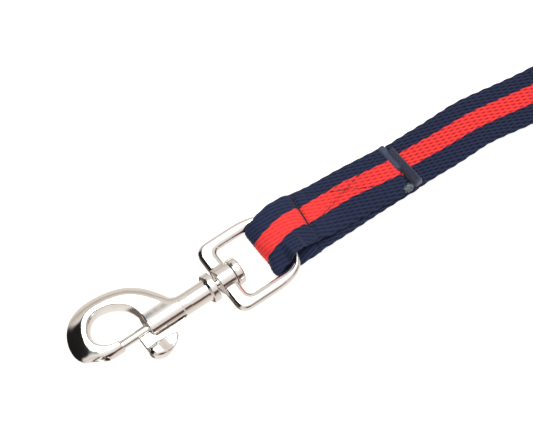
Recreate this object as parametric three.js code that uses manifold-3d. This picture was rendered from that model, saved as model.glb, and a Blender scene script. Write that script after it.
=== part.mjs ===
// Horse lead: flat cushion webbing folded and sewn round the eye of a swivel bolt snap.
// Millimetres, +Z up. X runs along the lead from the hook to the webbing, and Z = 0 is the
// surface that the lead lies on. Layout coordinates have X = 0 at the swivel bearing and Y = 0
// on the snap's axis; ORIGIN moves them so that the sewn end stands centred on the origin.
import * as THREE from "three";
import Module from "manifold-3d";
import { mergeVertices } from "three/addons/utils/BufferGeometryUtils.js";

// ---- driving dimensions ----
const GAP = 0.3; // clearance kept between pieces that touch
const ORIGIN = [11.7, 3.35]; // layout point that becomes the origin

// webbing
const WEB_WIDTH = 25;
const WEB_THICKNESS = 3.3;
const LAYER_STEP = WEB_THICKNESS + GAP; // from one sewn layer to the next

// folded loop round the eye, and the sewn lap
const LOOP_FRONT = 18.6; // foremost point of the loop
const LOOP_HEIGHT = 13.2;
const LOOP_WIDTH = 24.6; // squeezed a little between the arms of the eye
const LOOP_STITCH_X = 42; // cross seam that closes the loop
const LAP_END_X = 90.5; // cut end of the lap
const LAP_OFFSETS = [[LOOP_STITCH_X + GAP, 3.4], [66, 2.2], [LAP_END_X, 0.2]]; // lap's [x, middle y]
const BAR_TACK_END_X = 96;
const FREE_START_X = 97; // where the single strap leaves the sewn lap

// snap hardware, along its axis
const AXIS_Z = 6.7;
const BARREL_RADIUS = 5;
const BARREL_FRONT = -40.5;
const COLLAR_FRONT = -10;
const COLLAR_BACK = -6.4;
const COLLAR_RADIUS = 6.7;
const BORE_RADIUS = 2.35;
const SLOT_END = -23.4;
const SLOT_HALF = 1.6; // half the slot's height
const HOOK_THICKNESS = 8.4;
const HOOK_EDGE = 2; // rounding of the hook's edges
const TIP_FACE_X = -53.8; // end face of the hook's tip
const TIP_SOCKET_DEPTH = 3.2; // recess in the tip for the bolt's nose

// sliding bolt
const BOLT_RADIUS = 2;
const BOLT_NOSE_X = -56.6;
const BOLT_BACK_X = -36;
const STUD_MIDDLE_X = -43;
const STUD_LENGTH = 6.4;
const STUD_HALF = 1.3; // half the stud's height
const STUD_OUT = 8.2; // from the axis to the thumb knob
const TENON_RADIUS = 1;
const KNOB_HEIGHT = 6.8;
const KNOB_EDGE = 1;

// spring
const SPRING_RADIUS = 1.75;
const SPRING_WIRE_RADIUS = 0.24;
const SPRING_TURNS = 9;

// swivel rivet and eye
const RIVET_RADIUS = 2.05;
const RIVET_FRONT = -12.5;
const RIVET_HEAD_BACK = 6.9;
const RIVET_HEAD_RADIUS = 6.3;
const EYE_FRONT = -4.3;
const EYE_BEARING_BACK = 3;
const EYE_BEARING_RADIUS = 5.7;
const EYE_BORE_RADIUS = 2.35;
const EYE_THICKNESS = 4.8;
const EYE_EDGE = 1.7; // rounding of the eye's edges
const EYE_OUTER_HALF = 18.2;
const EYE_INNER_HALF = 12.8;
const CROSSBAR_FRONT = 29;
const CROSSBAR_BACK = 33.4;

// spare length, wound on edge in a round coil
const COIL_CENTRE = [252, -98.5];
const COIL_INNER = 49;
const COIL_OUTER = 88.4;
const HEM_LENGTH = 30; // folded-back tail at the free end
const HEM_ANGLE = HEM_LENGTH / COIL_INNER;
const HEM_END = 0.915 * Math.PI; // where the tail ends, round the coil
const HEM_SEAM_INSET = 2.5;

// threads
const SEAM_HEIGHT = 0.5;
const SEAM_WIDTH = 1;

const nickel = { color: 0xd9d6d1, roughness: 0.16, metalness: 1 };
const steel = { color: 0xb4b2ad, roughness: 0.3, metalness: 1 };
const navy = { color: 0x232a46, roughness: 0.9, metalness: 0 };
const thread = { color: 0x141726, roughness: 0.8, metalness: 0 };
const melted = { color: 0x6e7a80, roughness: 0.5, metalness: 0 };

// Outer edge of the hook from the barrel round to the tip, and its inner edge back to the mouth.
const HOOK_OUTER = [
  [-24, 4.4], [-27.6, 11], [-32.6, 17.4], [-39.5, 22.2], [-48.5, 24.7], [-58.5, 24.9],
  [-66.5, 21.8], [-71.6, 15.4], [-73.3, 8], [-71.3, 2.4], [-66.3, -1.2], [-60.8, -2.7],
  [TIP_FACE_X, -2.9],
];
const HOOK_INNER_TIP = [[TIP_FACE_X, 2.2], [-57, 2.6], [-60.4, 4], [-62.4, 6.4]];
const HOOK_INNER_TOP = [
  [-62.4, 10.6], [-60.6, 13.8], [-57.4, 16.2], [-53.6, 17.2], [-49.4, 16.8], [-45.2, 14.6],
  [-42.4, 11.6], [-41, 8], [BARREL_FRONT, 3],
];
// Upper layer of the fold in side view: its top from the seam forward, its inside back to the seam.
const LOOP_TOP = [[38.4, 8.2], [34.8, 11.2], [31, 12.7], [27, 13.2]];
const LOOP_INSIDE = [[27, 9.9], [30.8, 9.6], [33.6, 8.7], [36.8, 5.6], [40.4, 3.5]];
const KNOB_OUTLINE = [
  [-46.6, -8.2], [-47.1, -11.4], [-45.8, -14.5], [-42.4, -15.9], [-38.4, -14.9],
  [-34.2, -12.3], [-32.3, -9.9], [-33.2, -8.2], [-37.5, -7.5], [-42, -7.8],
];

// Route of the single strap from the lap to the coil: [x, y, roll in degrees]. The strap lies
// flat at first and turns on edge before it reaches the coil.
const RUN_ROUTE = [
  [97, 0, 0], [106, 0, 0], [115, -0.3, 0], [124, -0.5, 0], [133, -0.8, 0], [142, -1.9, 0],
  [151, -3.3, 0], [160, -4.8, 0], [169, -6.4, 3], [178, -7.9, 12], [187, -9.3, 26],
  [196, -10.5, 43], [205, -11.4, 60], [213, -12, 75], [219, -12.3, 84], [224, -12.45, 88],
];

const wasm = await Module();
wasm.setup();

// ---- helpers ----
function solidOf(geometry) {
  const bare = geometry.clone();
  bare.deleteAttribute("normal");
  bare.deleteAttribute("uv");
  const merged = mergeVertices(bare, 1e-4);
  const mesh = new wasm.Mesh({
    numProp: 3,
    vertProperties: new Float32Array(merged.attributes.position.array),
    triVerts: new Uint32Array(merged.index.array),
  });
  return new wasm.Manifold(mesh);
}

function geometryOf(solid) {
  const mesh = solid.getMesh();
  const geometry = new THREE.BufferGeometry();
  geometry.setAttribute("position", new THREE.BufferAttribute(mesh.vertProperties, 3));
  geometry.setIndex(new THREE.BufferAttribute(mesh.triVerts, 1));
  geometry.computeVertexNormals();
  return geometry;
}

function joined(first, ...others) {
  return geometryOf(others.reduce((sum, other) => sum.add(solidOf(other)), solidOf(first)));
}

function cut(geometry, ...tools) {
  return geometryOf(tools.reduce((left, tool) => left.subtract(solidOf(tool)), solidOf(geometry)));
}

function vectors(corners) {
  return corners.map(([x, y]) => new THREE.Vector2(x, y));
}

function splinePoints(corners, perSpan = 2) {
  return new THREE.SplineCurve(vectors(corners)).getPoints((corners.length - 1) * perSpan);
}

// Plain corner points of a path of lines and curves, without the doubled ones where two meet.
function cornersOf(path, divisions = 10) {
  const corners = path.getPoints(divisions);
  return corners.filter((corner, i) => corner.distanceTo(corners.at(i - 1)) > 0.01);
}

// Flat plate of the given outline, centred on Z = 0, with its edges rounded.
function plate(shape, thickness, edge, segments = 2) {
  const geometry = new THREE.ExtrudeGeometry(shape, {
    depth: thickness - 2 * edge,
    bevelEnabled: edge > 0,
    bevelThickness: edge,
    bevelSize: edge,
    bevelOffset: -edge,
    bevelSegments: segments,
    curveSegments: 8,
  });
  return geometry.translate(0, 0, edge - thickness / 2);
}

// Solid of revolution about X through a profile of [x, radius] pairs that starts and ends on the axis.
function turned(profile, segments = 28) {
  const points = profile.map(([x, radius]) => new THREE.Vector2(radius, x));
  return new THREE.LatheGeometry(points, segments).rotateZ(-Math.PI / 2);
}

function rod(from, to, radius, segments = 28) {
  return turned([[from, 0], [from, radius], [to, radius], [to, 0]], segments);
}

function box(x, y, z) {
  const geometry = new THREE.BoxGeometry(x[1] - x[0], y[1] - y[0], z[1] - z[0]);
  return geometry.translate((x[0] + x[1]) / 2, (y[0] + y[1]) / 2, (z[0] + z[1]) / 2);
}

function piece(name, geometry, look) {
  const mesh = new THREE.Mesh(geometry, new THREE.MeshStandardMaterial(look));
  mesh.name = name;
  return mesh;
}

// ---- snap hardware, built round the axis at Z = 0 ----
function hookShape() {
  const corners = [
    ...splinePoints(HOOK_OUTER),
    ...splinePoints(HOOK_INNER_TIP),
    ...splinePoints(HOOK_INNER_TOP),
    new THREE.Vector2(BARREL_FRONT + 3, 0),
    new THREE.Vector2(-25, 0),
  ];
  return new THREE.Shape(corners);
}

function snapBody() {
  const hook = plate(hookShape(), HOOK_THICKNESS, HOOK_EDGE);
  const barrel = rod(BARREL_FRONT, COLLAR_FRONT + 1, BARREL_RADIUS);
  const edge = 0.7;
  const collar = turned([
    [COLLAR_FRONT, 0], [COLLAR_FRONT, COLLAR_RADIUS - edge], [COLLAR_FRONT + edge, COLLAR_RADIUS],
    [COLLAR_BACK - edge, COLLAR_RADIUS], [COLLAR_BACK, COLLAR_RADIUS - edge], [COLLAR_BACK, 0],
  ]);
  const bore = rod(BARREL_FRONT - 4, COLLAR_BACK + 1, BORE_RADIUS, 20);
  const slotFlat = box([BARREL_FRONT - 4, SLOT_END - SLOT_HALF], [-9, 0], [-SLOT_HALF, SLOT_HALF]);
  const slotEnd = new THREE.CylinderGeometry(SLOT_HALF, SLOT_HALF, 9, 16);
  slotEnd.translate(SLOT_END - SLOT_HALF, -4.5, 0);
  const socket = rod(TIP_FACE_X - TIP_SOCKET_DEPTH, TIP_FACE_X + 1, BORE_RADIUS, 20);
  return cut(joined(hook, barrel, collar), bore, slotFlat, slotEnd, socket);
}

function swivelRivet() {
  const headFront = EYE_BEARING_BACK + GAP;
  const edge = 1;
  return turned([
    [RIVET_FRONT, 0], [RIVET_FRONT, RIVET_RADIUS - 0.3], [RIVET_FRONT + 0.3, RIVET_RADIUS],
    [headFront, RIVET_RADIUS], [headFront, RIVET_HEAD_RADIUS - 0.4],
    [headFront + 0.4, RIVET_HEAD_RADIUS], [RIVET_HEAD_BACK - edge, RIVET_HEAD_RADIUS],
    [RIVET_HEAD_BACK, RIVET_HEAD_RADIUS - edge], [RIVET_HEAD_BACK, 0],
  ]);
}

function slideBolt() {
  const edge = 0.6;
  const body = turned([
    [BOLT_NOSE_X, 0], [BOLT_NOSE_X, BOLT_RADIUS - edge], [BOLT_NOSE_X + edge, BOLT_RADIUS],
    [BOLT_BACK_X, BOLT_RADIUS], [BOLT_BACK_X, 0],
  ]);
  const hole = new THREE.CylinderGeometry(TENON_RADIUS + GAP, TENON_RADIUS + GAP, 4, 16);
  return cut(body, hole.translate(STUD_MIDDLE_X, -2.1, 0));
}

function thumbStud() {
  const front = STUD_MIDDLE_X - STUD_LENGTH / 2;
  const back = STUD_MIDDLE_X + STUD_LENGTH / 2;
  const stem = box([front, back], [-STUD_OUT - 1, -BOLT_RADIUS - GAP], [-STUD_HALF, STUD_HALF]);
  const tenon = new THREE.CylinderGeometry(TENON_RADIUS, TENON_RADIUS, 2.6, 16);
  tenon.translate(STUD_MIDDLE_X, -1.4, 0);
  const outline = splinePoints([...KNOB_OUTLINE, KNOB_OUTLINE[0]]).slice(0, -1);
  const knob = plate(new THREE.Shape(outline), KNOB_HEIGHT, KNOB_EDGE);
  return joined(knob, stem, tenon);
}

// Compression spring between the bolt and the rivet, as a wire round the axis.
class SpringCurve extends THREE.Curve {
  getPoint(t, target = new THREE.Vector3()) {
    const front = BOLT_BACK_X + GAP + SPRING_WIRE_RADIUS;
    const back = RIVET_FRONT - GAP - SPRING_WIRE_RADIUS;
    const turn = 2 * Math.PI * SPRING_TURNS * t;
    return target.set(
      front + (back - front) * t, SPRING_RADIUS * Math.cos(turn), SPRING_RADIUS * Math.sin(turn));
  }
}

function boltSpring() {
  const section = new THREE.Shape().absarc(0, 0, SPRING_WIRE_RADIUS, 0, 2 * Math.PI);
  return new THREE.ExtrudeGeometry(section, {
    steps: SPRING_TURNS * 14,
    curveSegments: 3,
    bevelEnabled: false,
    extrudePath: new SpringCurve(),
  });
}

// D-shaped outline: a straight front bar with round corners, straight arms and a rounded far end.
function eyeOutline(front, half, corner, straightEnd, shoulder, back, barHalf) {
  const path = new THREE.Shape();
  path.moveTo(front, 0);
  path.lineTo(front, half - corner);
  path.quadraticCurveTo(front, half, front + corner, half);
  path.lineTo(straightEnd, half);
  path.quadraticCurveTo(shoulder, half, (shoulder + back) / 2, (half + barHalf) / 2);
  path.quadraticCurveTo(back, barHalf, back, 0);
  path.quadraticCurveTo(back, -barHalf, (shoulder + back) / 2, -(half + barHalf) / 2);
  path.quadraticCurveTo(shoulder, -half, straightEnd, -half);
  path.lineTo(front + corner, -half);
  path.quadraticCurveTo(front, -half, front, -(half - corner));
  return new THREE.Shape(cornersOf(path, 6));
}

function swivelEye() {
  const outer = eyeOutline(EYE_FRONT, EYE_OUTER_HALF, 6, 14, 27, CROSSBAR_BACK, 7);
  const inner = eyeOutline(
    EYE_BEARING_BACK, EYE_INNER_HALF, 3, 20.5, 27, CROSSBAR_FRONT, 6);
  const frame = cut(
    plate(outer, EYE_THICKNESS, EYE_EDGE),
    plate(inner, EYE_THICKNESS + 2, 0));
  const bearing = rod(EYE_FRONT, EYE_BEARING_BACK, EYE_BEARING_RADIUS);
  const bore = rod(EYE_FRONT - 1, EYE_BEARING_BACK + 1, EYE_BORE_RADIUS, 20);
  return cut(joined(frame, bearing), bore);
}

// ---- webbing, built on the surface at Z = 0 ----
// Side view of the fold: two layers that part at the seam and close round the crossbar.
function webbingLoop() {
  const nose = LOOP_HEIGHT / 2;
  const centreX = LOOP_FRONT + nose;
  const profile = new THREE.Shape();
  profile.moveTo(centreX, 0);
  profile.lineTo(LOOP_STITCH_X, 0);
  profile.lineTo(LOOP_STITCH_X, LAYER_STEP + WEB_THICKNESS);
  profile.splineThru(vectors(LOOP_TOP));
  profile.lineTo(centreX, LOOP_HEIGHT);
  profile.absarc(centreX, nose, nose, Math.PI / 2, 1.5 * Math.PI, false);
  const hole = new THREE.Path();
  hole.moveTo(centreX, WEB_THICKNESS);
  hole.absarc(centreX, nose, nose - WEB_THICKNESS, 1.5 * Math.PI, Math.PI / 2, true);
  hole.splineThru(vectors(LOOP_INSIDE));
  const side = new THREE.Shape(cornersOf(profile, 4));
  side.holes.push(new THREE.Path(cornersOf(hole, 4)));
  const geometry = new THREE.ExtrudeGeometry(side, { depth: LOOP_WIDTH, bevelEnabled: false });
  return geometry.rotateX(Math.PI / 2).translate(0, LOOP_WIDTH / 2, 0);
}

function slab(outline, bottom, thickness) {
  const shape = new THREE.Shape(vectors(outline));
  const geometry = new THREE.ExtrudeGeometry(shape, { depth: thickness, bevelEnabled: false });
  return geometry.translate(0, 0, bottom);
}

function lapUpper() {
  const half = WEB_WIDTH / 2;
  const near = LAP_OFFSETS.map(([x, y]) => [x, y - half]);
  const far = LAP_OFFSETS.map(([x, y]) => [x, y + half]).reverse();
  return slab([...near, ...far], LAYER_STEP, WEB_THICKNESS);
}

function lapLower() {
  return box(
    [LOOP_STITCH_X + GAP, FREE_START_X - GAP], [-WEB_WIDTH / 2, WEB_WIDTH / 2], [0, WEB_THICKNESS]);
}

// Flat strap section bent along a route, rolled about its own middle line as the route says.
function runStrap() {
  const steps = 32;
  const across = WEB_WIDTH / 2;
  const up = WEB_THICKNESS / 2;
  const chamfer = 0.9;
  const section = new THREE.Shape(vectors([
    [-across, -up + chamfer], [-across + chamfer, -up], [across - chamfer, -up],
    [across, -up + chamfer], [across, up - chamfer], [across - chamfer, up],
    [-across + chamfer, up], [-across, up - chamfer],
  ]));
  const route = new THREE.CatmullRomCurve3(
    RUN_ROUTE.map(([x, y, roll]) => new THREE.Vector3(x, y, roll)));
  const geometry = new THREE.ExtrudeGeometry(section, { depth: 1, steps, bevelEnabled: false });
  const position = geometry.attributes.position;
  const along = new THREE.Vector3();
  for (let i = 0; i < position.count; i++) {
    const t = position.getZ(i);
    const place = route.getPoint(t);
    const roll = THREE.MathUtils.degToRad(place.z);
    along.copy(route.getTangent(t)).setZ(0).normalize();
    const side = position.getX(i) * Math.cos(roll) - position.getY(i) * Math.sin(roll);
    const rise = position.getX(i) * Math.sin(roll) + position.getY(i) * Math.cos(roll);
    const middle = across * Math.sin(roll) + up * Math.cos(roll);
    position.setXYZ(i, place.x - along.y * side, place.y + along.x * side, middle + rise);
  }
  return geometry;
}

// Ring that the wound turns fill.
function coilRing() {
  const profile = [
    [COIL_INNER, 0], [COIL_OUTER, 0], [COIL_OUTER, WEB_WIDTH], [COIL_INNER, WEB_WIDTH],
    [COIL_INNER, 0],
  ].map(([radius, z]) => new THREE.Vector2(radius, z));
  const geometry = new THREE.LatheGeometry(profile, 48).rotateX(Math.PI / 2);
  return geometry.translate(COIL_CENTRE[0], COIL_CENTRE[1], 0);
}

// Tail of the strap, folded back against the inside of the ring between two angles.
function hemTail() {
  const outer = COIL_INNER - GAP;
  const shape = new THREE.Shape();
  shape.absarc(0, 0, outer, HEM_END - HEM_ANGLE, HEM_END, false);
  shape.absarc(0, 0, outer - WEB_THICKNESS, HEM_END, HEM_END - HEM_ANGLE, true);
  const outline = new THREE.Shape(cornersOf(shape));
  const geometry = new THREE.ExtrudeGeometry(outline, { depth: WEB_WIDTH, bevelEnabled: false });
  return geometry.translate(COIL_CENTRE[0], COIL_CENTRE[1], 0);
}

// ---- threads ----
function seam(from, to, bottom) {
  const length = Math.hypot(to[0] - from[0], to[1] - from[1]);
  const geometry = new THREE.BoxGeometry(length, SEAM_WIDTH, SEAM_HEIGHT);
  geometry.rotateZ(Math.atan2(to[1] - from[1], to[0] - from[0]));
  return geometry.translate(
    (from[0] + to[0]) / 2, (from[1] + to[1]) / 2, bottom + SEAM_HEIGHT / 2);
}

// Upright row of stitches through the tail, proud of its inner face.
function hemSeam() {
  const radius = COIL_INNER - WEB_THICKNESS - 2 * GAP - SEAM_HEIGHT / 2;
  const geometry = new THREE.BoxGeometry(SEAM_HEIGHT, SEAM_WIDTH, WEB_WIDTH - 2 * HEM_SEAM_INSET);
  geometry.translate(radius, 0, WEB_WIDTH / 2).rotateZ(HEM_END - HEM_ANGLE * 0.75);
  return geometry.translate(COIL_CENTRE[0], COIL_CENTRE[1], 0);
}

// ---- assembly ----
const snap = new THREE.Group();
snap.position.z = AXIS_Z;
snap.add(
  piece("snap_body", snapBody(), nickel),
  piece("swivel_rivet", swivelRivet(), nickel),
  piece("slide_bolt", slideBolt(), nickel),
  piece("thumb_stud", thumbStud(), nickel),
  piece("bolt_spring", boltSpring(), steel),
  piece("swivel_eye", swivelEye(), nickel));

const lapTop = LAYER_STEP + WEB_THICKNESS;
const seamBottom = lapTop + GAP;
const webbing = new THREE.Group();
webbing.add(
  piece("webbing_loop", webbingLoop(), navy),
  piece("lap_upper", lapUpper(), navy),
  piece("lap_lower", lapLower(), navy),
  piece("loop_seam", seam([45.3, 14.7], [42.4, -8.3], seamBottom), thread),
  piece("cross_seam", joined(
    seam([48, -1], [86, 8.8], seamBottom), seam([51, 12.3], [87, -7.3], seamBottom)), thread),
  piece("end_bar_tack", box(
    [LAP_END_X + GAP + 0.2, BAR_TACK_END_X], [-11.9, 12.4],
    [WEB_THICKNESS + GAP, lapTop + SEAM_HEIGHT]), thread),
  piece("lap_end_seal", box(
    [LAP_END_X - 4, LAP_END_X], [-11.6, -8.6], [seamBottom, seamBottom + 0.6]), melted),
  piece("lead_run", runStrap(), navy));

webbing.add(
  piece("lead_coil", coilRing(), navy),
  piece("hem_tail", hemTail(), navy),
  piece("hem_seam", hemSeam(), thread));

const lead = new THREE.Group();
lead.add(snap, webbing);
lead.position.set(-ORIGIN[0], -ORIGIN[1], 0);

export default lead;
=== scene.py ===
"""Looks of the horse lead: cushion webbing sewn round the eye of a nickel-plated swivel bolt snap.

Lengths are in layout millimetres, as in the part: X runs along the lead from the hook to the
webbing, X = 0 is the swivel bearing, Y = 0 the snap's axis and Z = 0 the surface it lies on.
metres() turns layout points into the frame's metres.
"""
import math

import bmesh
import bpy
import numpy as np
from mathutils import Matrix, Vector


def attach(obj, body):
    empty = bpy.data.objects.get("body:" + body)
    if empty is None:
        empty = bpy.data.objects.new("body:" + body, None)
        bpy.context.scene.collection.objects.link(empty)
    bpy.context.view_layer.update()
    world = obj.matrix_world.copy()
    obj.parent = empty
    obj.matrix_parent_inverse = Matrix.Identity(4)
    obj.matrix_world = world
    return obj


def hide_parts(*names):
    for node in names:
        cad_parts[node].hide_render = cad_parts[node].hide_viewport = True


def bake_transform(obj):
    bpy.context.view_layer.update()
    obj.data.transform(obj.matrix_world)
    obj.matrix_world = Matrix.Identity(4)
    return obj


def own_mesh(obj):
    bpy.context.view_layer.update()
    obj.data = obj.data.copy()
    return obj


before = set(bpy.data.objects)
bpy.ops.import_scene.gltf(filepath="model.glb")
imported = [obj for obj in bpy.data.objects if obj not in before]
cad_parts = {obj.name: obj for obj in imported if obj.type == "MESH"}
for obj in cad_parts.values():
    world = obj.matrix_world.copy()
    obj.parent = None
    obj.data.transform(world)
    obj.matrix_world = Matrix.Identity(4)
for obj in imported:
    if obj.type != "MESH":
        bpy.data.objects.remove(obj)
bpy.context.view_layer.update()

# ---- driving sizes ----
ORIGIN = (11.7, 3.35, 0)  # layout point at the frame's origin
AXIS_Z = 6.7  # height of the snap's axis

WEB_WIDTH = 25
WEB_THICKNESS = 3.3
LAYER_STEP = 3.6
CORD_START_X = 95  # under the bar tack

RIBS = 15  # of the weave, across the webbing
RIB = WEB_WIDTH / RIBS
FLOAT = 2.8  # length along the webbing from one column of pits to the next
RELIEF = 0.5  # depth of the pits between the ribs
STRIPE_WIDTH = 8.3

COIL_CENTRE = (252, -98.5)
COIL_RADIUS = 86  # of the outermost turn
COIL_PITCH = 9
COIL_SWEEP = math.radians(1400.4)
COIL_STEPS_PER_TURN = 180
HEM_LENGTH = 30
HEM_MARGIN = 2.5  # from the webbing's edges to the hem's first and last needle holes

# Route of the single strap from the lap to the coil, as in the part: x, y, roll in degrees.
RUN_ROUTE = [
    (97, 0, 0), (106, 0, 0), (115, -0.3, 0), (124, -0.5, 0), (133, -0.8, 0), (142, -1.9, 0),
    (151, -3.3, 0), (160, -4.8, 0), (169, -6.4, 3), (178, -7.9, 12), (187, -9.3, 26),
    (196, -10.5, 43), (205, -11.4, 60), (213, -12, 75), (219, -12.3, 84), (224, -12.45, 88),
]


def metres(points):
    """Layout millimetres to the frame's metres."""
    return (np.asarray(points, float) - np.array(ORIGIN)) / 1000


# ---- camera ----
VIEW_TURN = math.radians(35.8)  # to the hook's side of straight across the lead
VIEW_RISE = math.radians(64.2)
VIEW_DISTANCE = 1.09
VIEW_AIM = (30.8, 13, 6.7)
LENS, SENSOR_WIDTH = 170, 36


def add_camera():
    back = Vector((
        -math.sin(VIEW_TURN) * math.cos(VIEW_RISE),
        -math.cos(VIEW_TURN) * math.cos(VIEW_RISE),
        math.sin(VIEW_RISE),
    ))
    lens = bpy.data.cameras.new("camera")
    lens.lens = LENS
    lens.sensor_width = SENSOR_WIDTH
    camera = bpy.data.objects.new("camera", lens)
    camera.location = Vector(metres(VIEW_AIM)) + back * VIEW_DISTANCE
    camera.rotation_euler = (-back).to_track_quat("-Z", "Y").to_euler()
    bpy.context.scene.collection.objects.link(camera)
    bpy.context.scene.camera = camera


# ---- curves ----
def smooth_line(points, per_span=8):
    """Catmull-Rom curve through the points, which may hold extra columns such as a roll."""
    p = np.asarray(points, float)
    p = np.vstack([2 * p[0] - p[1], p, 2 * p[-1] - p[-2]])
    line = []
    for i in range(1, len(p) - 2):
        t = np.linspace(0, 1, per_span, endpoint=False)[:, None]
        a, b, c, d = p[i - 1 : i + 3]
        line.append(0.5 * (2 * b + (c - a) * t + (2 * a - 5 * b + 4 * c - d) * t**2
                           + (3 * b - a - 3 * c + d) * t**3))
    return np.vstack([*line, p[-2:-1]])


def lengths_along(line):
    """Distance from the line's start to each of its points, by the first three columns."""
    steps = np.linalg.norm(np.diff(line[:, :3], axis=0), axis=1)
    return np.concatenate([[0], np.cumsum(steps)])


def resample(line, step):
    """The same line with points an even step apart."""
    along = lengths_along(line)
    count = max(2, round(along[-1] / step) + 1)
    at = np.linspace(0, along[-1], count)
    return np.stack([np.interp(at, along, line[:, k]) for k in range(line.shape[1])], axis=1)


# ---- meshes ----
SHARP_ANGLE = math.radians(50)


def add_mesh(name, verts, faces, material, uv=None, marks=None):
    """Mesh object from layout points. uv has a value per vertex, and marks are named point values."""
    mesh = bpy.data.meshes.new(name)
    mesh.from_pydata(metres(verts).tolist(), [], [list(map(int, f)) for f in faces])
    if uv is not None:
        corners = np.zeros(len(mesh.loops), np.int32)
        mesh.loops.foreach_get("vertex_index", corners)
        layer = mesh.uv_layers.new(name="weave")
        layer.data.foreach_set("uv", np.asarray(uv, np.float32)[corners].ravel())
    for key, values in (marks or {}).items():
        layer = mesh.attributes.new(key, "FLOAT", "POINT")
        layer.data.foreach_set("value", np.asarray(values, np.float32))
    shape = bmesh.new()
    shape.from_mesh(mesh)
    bmesh.ops.recalc_face_normals(shape, faces=shape.faces)
    shape.to_mesh(mesh)
    shape.free()
    mesh.polygons.foreach_set("use_smooth", [True] * len(mesh.polygons))
    mesh.set_sharp_from_angle(angle=SHARP_ANGLE)
    mesh.materials.append(material)
    obj = bpy.data.objects.new(name, mesh)
    bpy.context.scene.collection.objects.link(obj)
    return obj


def turned(profile, segments=96):
    """Vertices and faces of a solid of revolution about the snap's axis, from [x, radius] pairs
    that start and end on the axis."""
    turn = np.arange(segments) * 2 * math.pi / segments
    inner = profile[1:-1]
    verts = [[x, r * math.cos(a), AXIS_Z + r * math.sin(a)] for x, r in inner for a in turn]
    faces = []
    for row in range(len(inner) - 1):
        for k in range(segments):
            nxt = (k + 1) % segments
            faces.append([row * segments + k, row * segments + nxt,
                          (row + 1) * segments + nxt, (row + 1) * segments + k])
    for end, row, flip in ((profile[0], 0, True), (profile[-1], len(inner) - 1, False)):
        verts.append([end[0], 0, AXIS_Z])
        for k in range(segments):
            fan = [row * segments + k, row * segments + (k + 1) % segments, len(verts) - 1]
            faces.append(fan[::-1] if flip else fan)
    return np.array(verts), faces


def arc(centre, radius, start, end, steps):
    """Points of an arc in a profile, angles in degrees."""
    angles = np.radians(np.linspace(start, end, steps))
    return [(centre[0] + radius * math.cos(a), centre[1] + radius * math.sin(a)) for a in angles]


# ---- solids from distance fields ----
def smooth_step(value, low, high):
    t = np.clip((value - low) / (high - low), 0, 1)
    return t * t * (3 - 2 * t)


def join(a, b, k):
    """Union of two fields with a fillet of about k."""
    h = np.clip(0.5 + 0.5 * (b - a) / k, 0, 1)
    return b * (1 - h) + a * h - k * h * (1 - h)


def overlap(a, b, k):
    """Intersection of two fields with an edge rounded by about k."""
    return -join(-a, -b, k)


def outline_distance(x, y, corners):
    """Signed distance to a closed outline, negative inside it."""
    x, y = np.broadcast_arrays(x, y)
    nearest = np.full(x.shape, 1e9)
    inside = np.zeros(x.shape, bool)
    for a, b in zip(corners, np.roll(corners, -1, axis=0)):
        ex, ey = b - a
        px, py = x - a[0], y - a[1]
        t = np.clip((px * ex + py * ey) / (ex * ex + ey * ey), 0, 1)
        nearest = np.minimum(nearest, (px - ex * t) ** 2 + (py - ey * t) ** 2)
        if ey:
            crosses = ((a[1] > y) != (b[1] > y)) & (px < ex * py / ey)
            inside ^= crosses
    return np.where(inside, -1, 1) * np.sqrt(nearest)


def rounded_plate(flat, height, half_thickness, edge):
    """Plate of a flat field's shape with its edges rounded."""
    a, b = flat + edge, np.abs(height) - (half_thickness - edge)
    return np.hypot(np.maximum(a, 0), np.maximum(b, 0)) + np.minimum(np.maximum(a, b), 0) - edge


def sample_field(field, low, high, step):
    """Field values at the corners of a grid that fills the box."""
    axes = [np.arange(a, b + step, step) for a, b in zip(low, high)]
    shaped = [axes[k].reshape([-1 if k == j else 1 for j in range(3)]) for k in range(3)]
    return np.broadcast_to(field(*shaped), [len(a) for a in axes])


def mixed_cells(inside):
    """Which grid cells have corners on both sides of the surface."""
    cells = tuple(n - 1 for n in inside.shape)
    total = np.zeros(cells, int)
    for shift in np.ndindex(2, 2, 2):
        total += inside[tuple(slice(s, s + n) for s, n in zip(shift, cells))]
    return (total > 0) & (total < 8)


def crossing_middles(values, inside):
    """Mean place, within each cell, of the surface's crossings with the cell's edges."""
    cells = tuple(n - 1 for n in values.shape)
    place = np.zeros((*cells, 3))
    hits = np.zeros(cells)
    for axis in range(3):
        others = [k for k in range(3) if k != axis]
        for shift in np.ndindex(2, 2):
            offset = [0, 0, 0]
            offset[others[0]], offset[others[1]] = shift
            near = tuple(slice(o, o + n) for o, n in zip(offset, cells))
            offset[axis] = 1
            far = tuple(slice(o, o + n) for o, n in zip(offset, cells))
            offset[axis] = 0
            crossed = inside[near] != inside[far]
            gap = np.where(crossed, values[near] - values[far], 1)
            t = np.where(crossed, values[near] / gap, 0)
            for k in range(3):
                place[..., k] += np.where(crossed, t if k == axis else offset[k], 0)
            hits += crossed
    return place / np.maximum(hits, 1)[..., None]


def net_quads(inside, number, axis):
    """Quads across the grid edges along one axis that the surface crosses."""
    u, v = [(1, 2), (2, 0), (0, 1)][axis]
    size = list(inside.shape)
    size[axis] -= 1
    size[u] -= 2
    size[v] -= 2
    base = [0, 0, 0]
    base[u] = base[v] = 1
    here = tuple(slice(base[k], base[k] + size[k]) for k in range(3))
    base[axis] = 1
    there = tuple(slice(base[k], base[k] + size[k]) for k in range(3))
    change = inside[here] != inside[there]
    outward = inside[here][change]
    spot = np.stack(np.nonzero(change), axis=1)
    ring = []
    for du, dv in ((0, 0), (1, 0), (1, 1), (0, 1)):
        cell = spot.copy()
        cell[:, u] += du
        cell[:, v] += dv
        ring.append(number[tuple(cell.T)])
    quads = np.stack(ring, axis=1)
    quads[~outward] = quads[~outward][:, ::-1]
    return quads


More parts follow.
